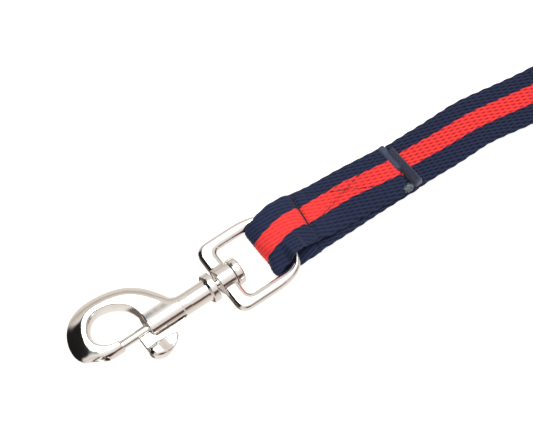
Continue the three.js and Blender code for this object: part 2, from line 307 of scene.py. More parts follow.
def surface_net(field, low, high, step):
    """Closed quad mesh of field = 0 inside the box, with vertices drawn onto the surface."""
    values = sample_field(field, low, high, step)
    inside = values < 0
    active = mixed_cells(inside)
    number = np.full(active.shape, -1)
    number[active] = np.arange(active.sum())
    index = np.stack(np.nonzero(active), axis=1)
    verts = index + crossing_middles(values, inside)[active]
    verts = verts * step + np.array(low)
    faces = np.vstack([net_quads(inside, number, axis) for axis in range(3)])
    return drawn_to_surface(field, verts, step), faces


def drawn_to_surface(field, verts, step, rounds=4):
    """Vertices moved along the field's slope onto its zero surface."""
    reach = step * 0.05
    for _ in range(rounds):
        x, y, z = verts.T
        here = field(x, y, z)
        slope = np.stack([
            field(x + reach, y, z) - field(x - reach, y, z),
            field(x, y + reach, z) - field(x, y - reach, z),
            field(x, y, z + reach) - field(x, y, z - reach),
        ], axis=1) / (2 * reach)
        steep = np.maximum((slope**2).sum(1), 0.05)
        move = -(here / steep)[:, None] * slope
        verts = verts + np.clip(move, -0.5 * step, 0.5 * step)
    return verts


def cast_piece(name, field, low, high, step, material):
    """Smooth cast piece from a field whose heights are measured from the snap's axis."""
    verts, faces = surface_net(field, low, high, step)
    verts[:, 2] += AXIS_Z
    return add_mesh(name, verts, faces, material)


# ---- materials ----
def new_material(name):
    material = bpy.data.materials.new(name)
    material.use_nodes = True
    nodes, links = material.node_tree.nodes, material.node_tree.links
    return material, nodes, links, nodes["Principled BSDF"]


def noise(nodes, links, scale, detail=4, space=None):
    """Noise in object space, or along the given vector."""
    texture = nodes.new("ShaderNodeTexNoise")
    texture.inputs["Scale"].default_value = scale
    texture.inputs["Detail"].default_value = detail
    if space is None:
        space = nodes.new("ShaderNodeTexCoord").outputs["Object"]
    links.new(space, texture.inputs["Vector"])
    return texture.outputs["Fac"]


def ramp(nodes, links, source, stops):
    """Colour ramp over source, from [(position, colour)]."""
    node = nodes.new("ShaderNodeValToRGB")
    links.new(source, node.inputs["Fac"])
    elements = node.color_ramp.elements
    elements[0].position, elements[0].color = stops[0][0], (*stops[0][1], 1)
    elements[1].position, elements[1].color = stops[-1][0], (*stops[-1][1], 1)
    for position, colour in stops[1:-1]:
        element = elements.new(position)
        element.color = (*colour, 1)
    return node.outputs["Color"]


def bump(nodes, links, height, distance, strength=1.0, under=None):
    node = nodes.new("ShaderNodeBump")
    node.inputs["Distance"].default_value = distance
    node.inputs["Strength"].default_value = strength
    links.new(height, node.inputs["Height"])
    if under is not None:
        links.new(under, node.inputs["Normal"])
    return node.outputs["Normal"]


def nickel_material(name, colour, roughness):
    """Bright plate over a cast body: faint waves and pits, with slightly uneven gloss."""
    material, nodes, links, shader = new_material(name)
    shader.inputs["Metallic"].default_value = 1
    waves = noise(nodes, links, 260, 2)
    tint = ramp(nodes, links, waves, [(0.3, [c * 0.94 for c in colour]), (0.7, colour)])
    links.new(tint, shader.inputs["Base Color"])
    gloss = nodes.new("ShaderNodeMapRange")
    gloss.inputs["To Min"].default_value = roughness * 0.7
    gloss.inputs["To Max"].default_value = roughness * 1.5
    links.new(noise(nodes, links, 900, 5), gloss.inputs["Value"])
    links.new(gloss.outputs["Result"], shader.inputs["Roughness"])
    normal = bump(nodes, links, noise(nodes, links, 180, 2), 0.0004, 0.12)
    normal = bump(nodes, links, noise(nodes, links, 2500, 3), 0.00002, 0.3, normal)
    links.new(normal, shader.inputs["Normal"])
    return material


STRIPE_WAVE = 0.14  # how far the stripe's edge steps in and out with the weave
# The darkest colours are painted shade for the weave's pits, the lightest painted highlight for its
# ribs.
NAVY_PIT_SHADE, NAVY, NAVY_RIB_HIGHLIGHT = (0.002, 0.003, 0.011), (0.01, 0.015, 0.045), (0.026, 0.038, 0.092)
RED_PIT_SHADE, RED, RED_RIB_HIGHLIGHT = (0.4, 0.008, 0.012), (0.83, 0.035, 0.035), (0.95, 0.07, 0.06)


def calculate(nodes, links, operation, *values):
    """Math node whose inputs are sockets or numbers."""
    node = nodes.new("ShaderNodeMath")
    node.operation = operation
    for socket, value in zip(node.inputs, values):
        if isinstance(value, (int, float)):
            socket.default_value = value
        else:
            links.new(value, socket)
    return node.outputs[0]


def webbing_material():
    """Navy ribs with a red middle stripe. The mesh gives each point's place along and across the
    webbing in UV and its height in the weave as "relief", which paints shade in the pits and a
    highlight on the ribs; fine yarns are added here."""
    material, nodes, links, shader = new_material("webbing_weave")
    relief = nodes.new("ShaderNodeAttribute")
    relief.attribute_name = "relief"
    place = nodes.new("ShaderNodeUVMap")
    place.uv_map = "weave"
    yarn_space = nodes.new("ShaderNodeMapping")
    yarn_space.inputs["Rotation"].default_value = (0, 0, math.atan2(RIB / 2, FLOAT))
    yarn_space.inputs["Scale"].default_value = (350, 3800, 1)
    links.new(place.outputs["UV"], yarn_space.inputs["Vector"])
    yarns = noise(nodes, links, 1, 3, yarn_space.outputs["Vector"])
    # Painted shade and highlight: darker where the weave is low, lighter on the ribs, with the yarns'
    # random tone mixed in.
    shade_and_yarn_tone = calculate(nodes, links, "MULTIPLY", relief.outputs["Fac"], 0.7)
    shade_and_yarn_tone = calculate(nodes, links, "MULTIPLY_ADD", yarns, 0.3, shade_and_yarn_tone)
    navy = ramp(nodes, links, shade_and_yarn_tone, [(0.3, NAVY_PIT_SHADE), (0.7, NAVY), (0.95, NAVY_RIB_HIGHLIGHT)])
    red = ramp(nodes, links, shade_and_yarn_tone, [(0.3, RED_PIT_SHADE), (0.7, RED), (0.95, RED_RIB_HIGHLIGHT)])
    spot = nodes.new("ShaderNodeSeparateXYZ")
    links.new(place.outputs["UV"], spot.inputs[0])
    wave = calculate(nodes, links, "MULTIPLY", spot.outputs["X"], math.pi * 1000 / FLOAT)
    wave = calculate(nodes, links, "SINE", wave)
    across = calculate(nodes, links, "MULTIPLY_ADD", wave, STRIPE_WAVE / 1000, spot.outputs["Y"])
    stripe = calculate(nodes, links, "COMPARE", across, 0.5, STRIPE_WIDTH / 2000)
    mix = nodes.new("ShaderNodeMix")
    mix.data_type = "RGBA"
    links.new(stripe, mix.inputs[0])
    links.new(navy, mix.inputs[6])
    links.new(red, mix.inputs[7])
    links.new(mix.outputs[2], shader.inputs["Base Color"])
    shader.inputs["Roughness"].default_value = 0.8
    shader.inputs["Sheen Weight"].default_value = 0.06
    shader.inputs["Sheen Roughness"].default_value = 0.5
    shader.inputs["Specular IOR Level"].default_value = 0.2
    links.new(bump(nodes, links, yarns, 0.0001, 0.7), shader.inputs["Normal"])
    return material


def thread_material(name, dark, light):
    """Sewing thread or dense stitching, with a twisted strand look."""
    material, nodes, links, shader = new_material(name)
    strands = noise(nodes, links, 3500, 3)
    colour = ramp(nodes, links, strands, [(0.3, dark), (0.75, light)])
    links.new(colour, shader.inputs["Base Color"])
    shader.inputs["Roughness"].default_value = 0.6
    shader.inputs["Sheen Weight"].default_value = 0.2
    links.new(bump(nodes, links, strands, 0.0001, 0.8), shader.inputs["Normal"])
    return material


def melted_material():
    material, nodes, links, shader = new_material("melted_webbing")
    # The pale grey-green in the mottling is painted highlight on the melted plastic, over its own dark
    # colour.
    blotch = noise(nodes, links, 900, 4)
    colour = ramp(nodes, links, blotch, [(0.35, (0.03, 0.036, 0.05)), (0.7, (0.22, 0.26, 0.28))])
    links.new(colour, shader.inputs["Base Color"])
    shader.inputs["Roughness"].default_value = 0.38
    links.new(bump(nodes, links, blotch, 0.0003, 0.6), shader.inputs["Normal"])
    return material


def plain_material(name, colour, roughness):
    material, nodes, links, shader = new_material(name)
    shader.inputs["Base Color"].default_value = (*colour, 1)
    shader.inputs["Roughness"].default_value = roughness
    return material


NICKEL = nickel_material("nickel_plate", (0.9, 0.87, 0.83), 0.11)
SPRING_STEEL = nickel_material("spring_wire", (0.62, 0.61, 0.58), 0.3)
WEBBING = webbing_material()
THREAD = thread_material("sewing_thread", (0.003, 0.004, 0.01), (0.012, 0.014, 0.03))
BINDING = thread_material("bar_tack_thread", (0.012, 0.017, 0.045), (0.07, 0.085, 0.16))
MELTED = melted_material()

# ---- snap ----
TIP_FACE_X = -53.8
TIP_UNDER_Y = -2.9
MOUTH_X = -40.5  # where the opening ends at the barrel
# Outer edge of the hook from the barrel round to the tip, and the opening's edge back to the mouth.
HOOK_OUTER = [
    (-24, 4.4), (-27.6, 11), (-32.6, 17.4), (-39.5, 22.2), (-48.5, 24.7), (-58.5, 24.9),
    (-66.5, 21.8), (-71.6, 15.4), (-73.3, 8), (-71.3, 2.4), (-66.3, -1.2), (-60.8, -2.7),
    (TIP_FACE_X, TIP_UNDER_Y),
]
HOOK_INNER = [
    (TIP_FACE_X, 2.2), (-56.6, 2.7), (-59.4, 3.9), (-61.7, 6.1), (-62.6, 8.6), (-62, 11.2),
    (-60.2, 14.1), (-57.4, 16.2), (-53.6, 17.2), (-49.4, 16.8), (-45.2, 14.6), (-42.4, 11.6),
    (-41, 8), (MOUTH_X, 3),
]
HOOK_HALF = 4.2  # half-thickness of the hook
CHEEK_WIDTH = 5
CHEEK_EXTRA = 2  # added to the cheek's width at the hook's front bend
CHEEK_SCALE = 3.6  # turns the cheek's shape, which is 1 on its surface, into millimetres
OPENING_SLOPE = 1.9  # at most, how far the opening's edge moves out from halfway through to a face
BARREL_RADIUS = 5
BARREL_END_X = -8
COLLAR_X = -8.2
COLLAR_RADIUS = 6.7
COLLAR_HALF = 1.8
BORE_RADIUS = 2.35
BORE_END_X = -12.9
SOCKET_RADIUS = 2.12
SOCKET_END_X, SOCKET_START_X = -57, -50  # the start is out in the mouth
SLOT_END_X = -25
SLOT_HALF = 1.6
CAST_STEP = 0.3  # grid step of the larger cast pieces

# The hook's outline closes under the mouth and inside the barrel, and the opening's below it.
hook_close = [(-52, TIP_UNDER_Y), (-20, TIP_UNDER_Y), (-20, 2)]
hook_edge = np.vstack([smooth_line(HOOK_OUTER), hook_close])
opening_edge = np.vstack([smooth_line(HOOK_INNER), [(MOUTH_X, -9), (TIP_FACE_X, -9)]])


def hook_field(x, y, z):
    """A flat land round an opening with sloped walls, and a broad cheek falling to the rim."""
    outer = outline_distance(x, y, hook_edge)
    opening = outline_distance(x, y, opening_edge)
    towards_tip = smooth_step(x, -75, -55) * smooth_step(-y, -12, 1)
    cheek = CHEEK_WIDTH + CHEEK_EXTRA * smooth_step(-x, 58, 68)
    cheek = cheek * (0.45 + 0.55 * smooth_step(y, -8, 4))
    fall = np.maximum(outer + cheek, 0) / cheek
    height = np.abs(z) / HOOK_HALF
    fullness = 1.25 + 0.75 * towards_tip
    body = ((fall**fullness + height**fullness) ** (1 / fullness) - 1) * CHEEK_SCALE
    slope = OPENING_SLOPE * height**2 * (0.35 + 0.65 * smooth_step(-x, 50, 60))
    return overlap(body, slope - opening, 0.3)


def snap_field(x, y, z):
    """Hook, barrel and collar in one, less the bore, the stud's slot and the tip's socket."""
    radius = np.hypot(y, z)
    waist = BARREL_RADIUS - 0.22 * smooth_step(x, SLOT_END_X + 0.8, SLOT_END_X + 1.6)
    barrel = overlap(radius - waist, np.maximum(MOUTH_X - x, x - BARREL_END_X), 0.9)
    body = join(hook_field(x, y, z), barrel, 2.2)
    collar = rounded_plate(radius - COLLAR_RADIUS, x - COLLAR_X, COLLAR_HALF, 0.8)
    body = join(body, collar, 0.6)
    bore = np.maximum(radius - BORE_RADIUS, x - BORE_END_X)
    slot = np.where(x > SLOT_END_X, np.hypot(x - SLOT_END_X, z), np.abs(z)) - SLOT_HALF
    slot = np.maximum(np.maximum(slot, y), MOUTH_X - 3 - x)
    socket = np.maximum(np.maximum(radius - SOCKET_RADIUS, SOCKET_END_X - x), x - SOCKET_START_X)
    for hollow, edge in ((bore, 0.4), (slot, 0.5), (socket, 0.3)):
        body = overlap(body, -hollow, edge)
    return body


def add_snap():
    low, high = (-74.2, -7.6, -7.6), (-5.8, 25.8, 7.6)
    body = cast_piece("snap_casting", snap_field, low, high, CAST_STEP, NICKEL)
    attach(body, "snap")
    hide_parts("snap_body")


def add_rivet():
    head = [(-12.5, 0), (-12.5, 1.7), (-12.1, 2.05), (3.3, 2.05), (3.3, 5.9), (3.45, 6.15)]
    head += arc((4.2, 5.6), 0.7, 128, 90, 4) + arc((5.8, 5.2), 1.1, 90, 12, 7)
    head += [(6.75, 4.4), (6.55, 3.2), (6.6, 1.5), (6.7, 0.6), (6.7, 0)]
    verts, faces = turned(head)
    rivet = add_mesh("rivet", verts, faces, NICKEL)
    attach(rivet, "snap")
    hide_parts("swivel_rivet")


# ---- bolt ----
KNOB_OUTLINE = [
    (-45.9, -8.2), (-46.5, -10.6), (-45.4, -13), (-42.6, -14.5), (-39, -14.6), (-35.2, -13),
    (-31.9, -10.5), (-31.8, -8.7), (-36.4, -7.9), (-41.5, -7.9), (-45.9, -8.2),
]
knob_edge = smooth_line(KNOB_OUTLINE, 5)[:-1]
STUD_X = -43
STEM_HALF_LENGTH = 3.2
STEM_HALF_WIDTH = 1.3
STEM_EDGE = 0.15
BOLT_RADIUS = 2
BOLT_NOSE_X, BOLT_BACK_X = -56.6, -36


def stud_field(x, y, z):
    """Flat stem with a thumb knob: full and round in front, with a thin hollowed tail."""
    half = 3.3 - 1.5 * smooth_step(x, -42.5, -37)
    edge = 2.2 - 0.9 * smooth_step(x, STUD_X, -37)
    knob = rounded_plate(outline_distance(x, y, knob_edge), z, half, edge)
    hollow = 6.5 - np.hypot(np.hypot(x + 36, y + 11.5), np.abs(z) - 7.6)
    knob = overlap(knob, hollow, 0.5)
    stem = np.maximum(np.abs(x - STUD_X) - STEM_HALF_LENGTH, np.abs(z) - STEM_HALF_WIDTH) + STEM_EDGE
    stem = np.maximum(stem, np.maximum(y + 2.3, -9.5 - y)) - STEM_EDGE
    tenon = np.maximum(np.hypot(x - STUD_X, z) - 1, np.abs(y + 1.6) - 1.5)
    return join(join(knob, stem, 0.5), tenon, 0.1)


def add_bolt():
    edge = 0.9
    nose = arc((BOLT_NOSE_X + edge, BOLT_RADIUS - edge), edge, 180, 90, 7)
    profile = [(BOLT_NOSE_X, 0), *nose, (BOLT_BACK_X, BOLT_RADIUS), (BOLT_BACK_X, 0)]
    verts, faces = turned(profile, 64)
    bolt = add_mesh("bolt_rod", verts, faces, NICKEL)
    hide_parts("slide_bolt")
    stud = cast_piece("thumb_knob", stud_field, (-47.8, -16.6, -4), (-31.6, 0.4, 4), 0.2, NICKEL)
    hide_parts("thumb_stud")
    for piece in (bolt, stud):
        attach(piece, "bolt")


# ---- spring ----
SPRING_FRONT, SPRING_BACK = -35.6, -12.85
SPRING_RADIUS = 1.75
SPRING_WIRE = 0.24
SPRING_TURNS = 9
SPRING_STEPS_PER_TURN = 28


def tube(line, radius, sides=8):
    """Vertices and faces of a round closed-ended tube along a line."""
    step = np.gradient(line, axis=0)
    step /= np.linalg.norm(step, axis=1)[:, None]
    side = np.cross(step[0], (0.3, 0.2, 0.93))
    rings = []
    for point, way in zip(line, step):
        side = side - way * (side @ way)
        side /= np.linalg.norm(side)
        up = np.cross(way, side)
        for k in range(sides):
            turn = 2 * math.pi * k / sides
            rings.append(point + radius * (side * math.cos(turn) + up * math.sin(turn)))
    count = len(line)
    faces = [[r * sides + k, r * sides + (k + 1) % sides, (r + 1) * sides + (k + 1) % sides,
              (r + 1) * sides + k] for r in range(count - 1) for k in range(sides)]
    faces.append(list(range(sides))[::-1])
    faces.append([(count - 1) * sides + k for k in range(sides)])
    return np.array(rings), faces


def add_spring():
    t = np.linspace(0, 1, SPRING_TURNS * SPRING_STEPS_PER_TURN)
    turn = 2 * math.pi * SPRING_TURNS * t
    x = SPRING_FRONT + (SPRING_BACK - SPRING_FRONT) * t
    y, z = SPRING_RADIUS * np.cos(turn), AXIS_Z + SPRING_RADIUS * np.sin(turn)
    verts, faces = tube(np.stack([x, y, z], axis=1), SPRING_WIRE)
    spring = add_mesh("spring_coil", verts, faces, SPRING_STEEL)
    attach(spring, "snap")
    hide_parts("bolt_spring")
    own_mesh(spring)


# ---- swivel eye ----
def curve_through(*corners, steps=10):
    """Quadratic curve from the first point to the last, drawn towards the middle one."""
    a, b, c = (np.array(p, float) for p in corners)
    t = np.linspace(0, 1, steps)[:, None]
    return (1 - t) ** 2 * a + 2 * t * (1 - t) * b + t**2 * c


def eye_edge(front, half, corner, straight_end, shoulder, back, bar_half):
    """Closed D outline: straight front bar with round corners, straight arms, round far end."""
    middle = ((shoulder + back) / 2, (half + bar_half) / 2)
    far = np.vstack([
        curve_through((front, half - corner), (front, half), (front + corner, half)),
        curve_through((straight_end, half), (shoulder, half), middle),
        curve_through(middle, (back, bar_half), (back, 0))[1:],
    ])
    near = far[::-1][1:] * (1, -1)
    return np.vstack([far, near])


EYE_OUTER = eye_edge(front=-4.3, half=18.2, corner=6, straight_end=14, shoulder=27, back=33.4,
                     bar_half=7)
EYE_INNER = eye_edge(front=3, half=12.8, corner=3, straight_end=20.5, shoulder=27, back=29,
                     bar_half=6)
EYE_HALF = 2.4
EYE_EDGE = 1.9
INNER_WALL_BULGE = 0.16
BEARING_RADIUS = 5.7
BEARING_X = -0.65
BEARING_HALF = 3.65


def eye_field(x, y, z):
    """Rounded D ring with a short bearing tube through its front bar."""
    wall = INNER_WALL_BULGE * z**2 - outline_distance(x, y, EYE_INNER)
    band = overlap(outline_distance(x, y, EYE_OUTER), wall, 0.3)
    ring = rounded_plate(band, z, EYE_HALF, EYE_EDGE)
    radius = np.hypot(y, z)
    bearing = rounded_plate(radius - BEARING_RADIUS, x - BEARING_X, BEARING_HALF, 0.35)
    return overlap(join(ring, bearing, 0.9), BORE_RADIUS - radius, 0.3)


def add_eye():
    low, high = (-5.2, -19.2, -6.6), (34.4, 19.2, 6.6)
    eye = cast_piece("swivel_ring", eye_field, low, high, CAST_STEP, NICKEL)
    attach(eye, "eye")
    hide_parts("swivel_eye")


# ---- webbing ----
def across_points(split):
    """Places across the webbing, two to a rib, with every gap cut into split."""
    return np.linspace(-WEB_WIDTH / 2, WEB_WIDTH / 2, 2 * RIBS * split + 1)


def weave_height(along, across, slack):
    """Height of the weave, from 0 in its pits to 1 on its ribs. The ribs run aslant, and pits lie
    between them in columns a float apart. slack is 1 where the webbing lies easy, and less where
    it is pulled smooth."""
    rib = across / RIB + along / (2 * FLOAT)
    groove = np.exp(-(((rib - np.round(rib)) * RIB / 0.32) ** 2))
    column = np.round(along / FLOAT)
    beside = across / RIB + column / 2
    beside = (beside - np.round(beside)) * RIB
    pit = np.exp(-(((along - column * FLOAT) / 0.85) ** 2) - (beside / 0.34) ** 2)
    return 1 - (0.2 + 0.1 * slack) * groove - 0.7 * slack * pit


def directions(line):
    way = np.gradient(line, axis=0)
    return way / np.linalg.norm(way, axis=1)[:, None]


def edge_wave(along, across):
    """How far the selvedge wanders in and out, as a share of the half width."""
    side = np.sign(across)
    ripple = 0.011 * np.sin(2 * math.pi * along / (2 * FLOAT) + side)
    return ripple + 0.012 * np.sin(along / 6.1 + 2 * side) + 0.01 * np.sin(along / 14.7 - side)


def strap_rows(line, up, along, splits, slack):
    """Points round the webbing at each step of a line, whose face looks up. Each has two marks,
    its height in the weave and its place across. splits cut the ribs on the two faces."""
    way = directions(line)
    up = up - way * (up * way).sum(1)[:, None]
    up /= np.linalg.norm(up, axis=1)[:, None]
    side = np.cross(up, way)
    slack = np.broadcast_to(slack, len(line))[:, None]
    points, marks = [], []
    for face, split in zip((1, -1), splits):
        across = across_points(split)
        if face < 0:
            across = across[-2:0:-1]
        height = weave_height(along[:, None] + (face - 1) * FLOAT / 4, across, slack)
        to_edge = np.abs(across) / (WEB_WIDTH / 2)
        body = (1 - to_edge**9) ** 0.45
        lift = face * body * (WEB_THICKNESS / 2 - RELIEF * (1 - height))
        reach = across * (1 + edge_wave(along[:, None], across) * to_edge**8)
        points.append(line[:, None] + side[:, None] * reach[..., None] + up[:, None] * lift[..., None])
        marks.append(np.stack([height, np.broadcast_to(across, height.shape)], axis=2))
    return np.concatenate(points, axis=1), np.concatenate(marks, axis=1)


def row_faces(rows, around, first=0):
    """Quads between rows of points that go round a section."""
    index = first + np.arange(rows * around).reshape(rows, around)
    beside = np.roll(index, -1, axis=1)
    return np.stack([index[:-1], index[1:], beside[1:], beside[:-1]], axis=2).reshape(-1, 4).tolist()


def step_down(fine, coarse, split):
    """Faces from a row whose top gaps are cut into split to a row of whole gaps."""
    top_gaps = len(across_points(1)) - 1
    faces = []
    for k in range(len(coarse)):
        if k < top_gaps:
            near = fine[k * split : k * split + split + 1]
        else:
            m = k + top_gaps * (split - 1)
            near = [fine[m], fine[(m + 1) % len(fine)]]
        far = [coarse[k], coarse[(k + 1) % len(coarse)]]
        faces.append([near[0], *far, *near[:0:-1]])
    return faces


def add_strap(name, points, marks, along, faces, stripe_shift=None):
    """Webbing piece from its points, with the marks that its material reads. stripe_shift has
    places along the webbing and how far its stripe lies from the middle there."""
    if stripe_shift:
        marks = [m - np.stack([0 * a, np.interp(a, *stripe_shift)], axis=1)[:, None]
                 for m, a in zip(marks, along)]
    marks = np.concatenate([m.reshape(-1, 2) for m in marks])
    along = np.concatenate([np.repeat(a, p.shape[1]) for a, p in zip(along, points)])
    verts = np.concatenate([p.reshape(-1, 3) for p in points])
    uv = np.stack([along, marks[:, 1]], axis=1) / 1000 + (0, 0.5)
    return add_mesh(name, verts, faces, WEBBING, uv, {"relief": marks[:, 0]})


def closed_rows(count, around):
    faces = row_faces(count, around)
    last = (count - 1) * around
    return [list(range(around)), *faces, list(range(last, last + around))[::-1]]


SPLIT_Z = 4.6  # between the two layers at the lap
LOWER_Z = WEB_THICKNESS / 2
UPPER_Z = LAYER_STEP + WEB_THICKNESS / 2
# Middle line of the folded end, from the cut end of the lap forward, round the crossbar and back.
FOLD_ROUTE = [
    (91.2, -0.3, UPPER_Z - 0.5), (84, 0.2, UPPER_Z), (76, 0.9, UPPER_Z), (68, 1.7, UPPER_Z),
    (60, 2.4, UPPER_Z), (52, 3.1, UPPER_Z + 0.1), (47.5, 3.6, UPPER_Z + 0.4),
    (44.6, 3.9, UPPER_Z + 0.7), (42.4, 3.9, 7.3), (40, 3.9, 8.8), (37, 3.7, 10.2),
    (33.5, 3.3, 11.2), (30, 2.6, 11.55), (26.5, 1.8, 11.4), (23.4, 1.3, 10.7), (21, 0.9, 9.1),
    (20.1, 0.5, 6.7), (20.9, 0.3, 4.2), (23.2, 0.1, 2.5), (26.2, 0, 1.75), (30, 0, LOWER_Z),
    (36, 0, LOWER_Z), (42, 0, LOWER_Z),
]
# The thread lines that hold the lap: across the fold, and crosswise along the lap.
LOOP_SEAM = ((45.3, 14.7), (42.4, -8.3))
CROSS_SEAMS = (((48, -1), (86, 8.8)), ((51, 12.3), (87, -7.3)))
FINE_SPLIT = 4
FINE_STEP = FLOAT / 7
RUN_STEP = FLOAT / 6
COARSE_STEP = FLOAT / 2
RUN_FINE_END = 168  # X past the side of the camera's view
NEAR_CURL = 0.9  # how far the layers' near edges bend towards each other
# Where the stripe lies, as stripe_shift in add_strap.
FOLD_STRIPE = ((0, 8, 16, 24, 32, 40, 47), (-0.3, -0.7, -1.2, -1.6, -1.2, -0.7, 0))
LEAD_STRIPE = ((0, 18, 35, 60), (1.6, 0.7, 0.4, 0.1))


def from_seam(points, seam):
    """Distance of points from a seam line, over the layer."""
    (ax, ay), (bx, by) = seam
    ex, ey = bx - ax, by - ay
    px, py = points[..., 0] - ax, points[..., 1] - ay
    t = np.clip((px * ex + py * ey) / (ex * ex + ey * ey), 0, 1)
    return np.hypot(px - ex * t, py - ey * t)


def shape_fold(points, across):
    """The fold drawn askew by its seam, low and close over the bar's near end, and pinched."""
    x, y, z = (points[..., k] for k in range(3))
    upper = smooth_step(z, 3.6, 5.2)
    near_seam = smooth_step(x, 33, 41) * (1 - smooth_step(x, 46, 60))
    x = x + upper * near_seam * 0.126 * (y - 3.4)
    near_edge = smooth_step(across, 2, 12.5)
    front = 1 - smooth_step(x, 25.5, 29)
    behind = smooth_step(x, 34, 37) * (1 - smooth_step(x, 41, 46))
    z = z - near_edge * (0.5 * front + 0.33 * behind) * np.maximum(z - 3.3, 0)
    nose = (1 - smooth_step(x, 20, 27)) * smooth_step(z, 3.3, 6)
    x = x + nose * (1.2 * np.exp(-(((across - 4.6) / 2.6) ** 2)) - 0.5 * near_edge)
    points = np.stack([x, y, z], axis=-1)
    fades = smooth_step(y, -3.5, 0.5)
    pinch = (0.35 + 1.05 * fades) * np.exp(-((from_seam(points, LOOP_SEAM) / 1.15) ** 2))
    for seam in CROSS_SEAMS:
        pinch = pinch + 0.3 * np.exp(-((from_seam(points, seam) / 0.8) ** 2))
    settled = smooth_step(across, 6, 12.5) * smooth_step(x, 47, 53)
    points[..., 2] -= upper * (pinch + NEAR_CURL * settled)
    return points


def add_fold():
    """The lap's upper layer and the fold round the crossbar. Returns the upper layer's points."""
    line = resample(smooth_line(FOLD_ROUTE, 12), FINE_STEP)
    way = directions(line)
    up = np.stack([way[:, 2], np.zeros(len(way)), -way[:, 0]], axis=1)
    along = lengths_along(line)
    slack = 0.3 + 0.45 * smooth_step(line[:, 0], 46, 66)
    points, marks = strap_rows(line, up, along, (FINE_SPLIT, FINE_SPLIT), slack)
    points = shape_fold(points, marks[..., 1])
    fold = add_strap("folded_end", [points], [marks], [along], closed_rows(*points.shape[:2]),
                     FOLD_STRIPE)
    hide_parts("webbing_loop", "lap_upper")
    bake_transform(fold)
    return points[points[..., 2] > SPLIT_Z]


def add_lower_layer():
    """The layer under the lap, its near edge curled up beside the upper layer."""
    x = np.arange(42, CORD_START_X, FINE_STEP)
    line = np.stack([x, 0 * x, 0 * x + LOWER_Z], axis=1)
    up = np.tile((0, 0, 1.0), (len(line), 1))
    points, marks = strap_rows(line, up, x, (FINE_SPLIT, 1), 0.8)
    curl = smooth_step(-points[..., 1], 7, 12.5) * (1 - smooth_step(points[..., 0], 62, 84))
    points[..., 2] += NEAR_CURL * curl
    layer = add_strap("under_layer", [points], [marks], [x], closed_rows(*points.shape[:2]))
    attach(layer, "lead")
    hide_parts("lap_lower")


def run_line():
    """Middle line and face directions from the bar tack to the start of the coil."""
    route = smooth_line([(CORD_START_X, 0, 0), *RUN_ROUTE])
    roll = np.radians(route[:, 2])
    height = WEB_WIDTH / 2 * np.sin(roll) + WEB_THICKNESS / 2 * np.cos(roll)
    run = np.stack([route[:, 0], route[:, 1], height], axis=1)
    way = directions(run * (1, 1, 0))
    left = np.stack([-way[:, 1], way[:, 0], 0 * roll], axis=1)
    up = np.cos(roll)[:, None] * (0, 0, 1) - np.sin(roll)[:, None] * left
    return run, up


def coil_line():
    """Middle line and face directions of the coil, wound inwards on edge."""
    count = round(COIL_STEPS_PER_TURN * COIL_SWEEP / (2 * math.pi))
    turn = np.linspace(0, COIL_SWEEP, count)
    radius = COIL_RADIUS - COIL_PITCH * turn / (2 * math.pi)
    across, ahead = np.sin(turn), np.cos(turn)
    line = np.stack([COIL_CENTRE[0] + radius * across, COIL_CENTRE[1] + radius * ahead,
                     0 * turn + WEB_WIDTH / 2], axis=1)
    return line, np.stack([-across, -ahead, 0 * turn], axis=1)


def cord_line():
    return [np.vstack(parts) for parts in zip(run_line(), coil_line())]


def hem_line(end, way, up):
    """Middle line and face directions of the hem: a fold to the inside, then back along the coil."""
    turn = np.linspace(0, math.pi, 12)[1:, None]
    bend = LAYER_STEP / 2
    line = end + bend * (np.sin(turn) * way + (1 - np.cos(turn)) * up)
    face = np.cos(turn) * up - np.sin(turn) * way
    from_centre = line[-1, :2] - COIL_CENTRE
    radius = np.linalg.norm(from_centre)
    first = math.atan2(from_centre[1], from_centre[0])
    angle = first + np.linspace(0, HEM_LENGTH / radius, round(HEM_LENGTH / COARSE_STEP))[1:]
    outward = np.stack([np.cos(angle), np.sin(angle), 0 * angle], axis=1)
    back = outward * radius + (*COIL_CENTRE, WEB_WIDTH / 2)
    return np.vstack([line, back]), np.vstack([face, outward])


def lead_faces(fine_shape, coarse_shape):
    """Faces of the free strap: end caps, the fine part, a step down and the coarse part."""
    count, around = fine_shape
    far_count, far_around = coarse_shape
    first = count * around
    faces = [list(range(around)), *row_faces(count, around)]
    faces += step_down(list(range(first - around, first)), list(range(first, first + far_around)),
                       FINE_SPLIT)
    faces += row_faces(far_count, far_around, first)
    last = first + (far_count - 1) * far_around
    faces.append(list(range(last, last + far_around))[::-1])
    return faces


def add_lead():
    """The free strap in one piece, with the weave finest where it lies nearest the snap."""
    path, up = cord_line()
    route = np.hstack([path, up])
    along = lengths_along(route)
    run, _ = run_line()
    split_at = np.interp(RUN_FINE_END, run[:, 0], lengths_along(run))
    split_at = COARSE_STEP * round(split_at / COARSE_STEP)
    fine_along = np.arange(0, split_at - RUN_STEP / 2, RUN_STEP)
    coarse_along = np.append(np.arange(split_at, along[-1] - 0.5, COARSE_STEP), along[-1])

    def at(places):
        return np.stack([np.interp(places, along, column) for column in route.T], axis=1)

    fine, coarse = at(fine_along), at(coarse_along)
    hem, hem_up = hem_line(path[-1], directions(path)[-1], up[-1])
    coarse = np.vstack([coarse, np.hstack([hem, hem_up])])
    coarse_along = split_at + lengths_along(coarse)
    top, top_marks = strap_rows(fine[:, :3], fine[:, 3:], fine_along, (FINE_SPLIT, 1), 1)
    rest, rest_marks = strap_rows(coarse[:, :3], coarse[:, 3:], coarse_along, (1, 1), 1)
    faces = lead_faces(top.shape[:2], rest.shape[:2])
    lead = add_strap("lead_strap", [top, rest], [top_marks, rest_marks],
                     [fine_along, coarse_along], faces, LEAD_STRIPE)
    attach(lead, "lead")
    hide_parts("lead_run", "lead_coil", "hem_tail")
    return lead, path, along[-1]


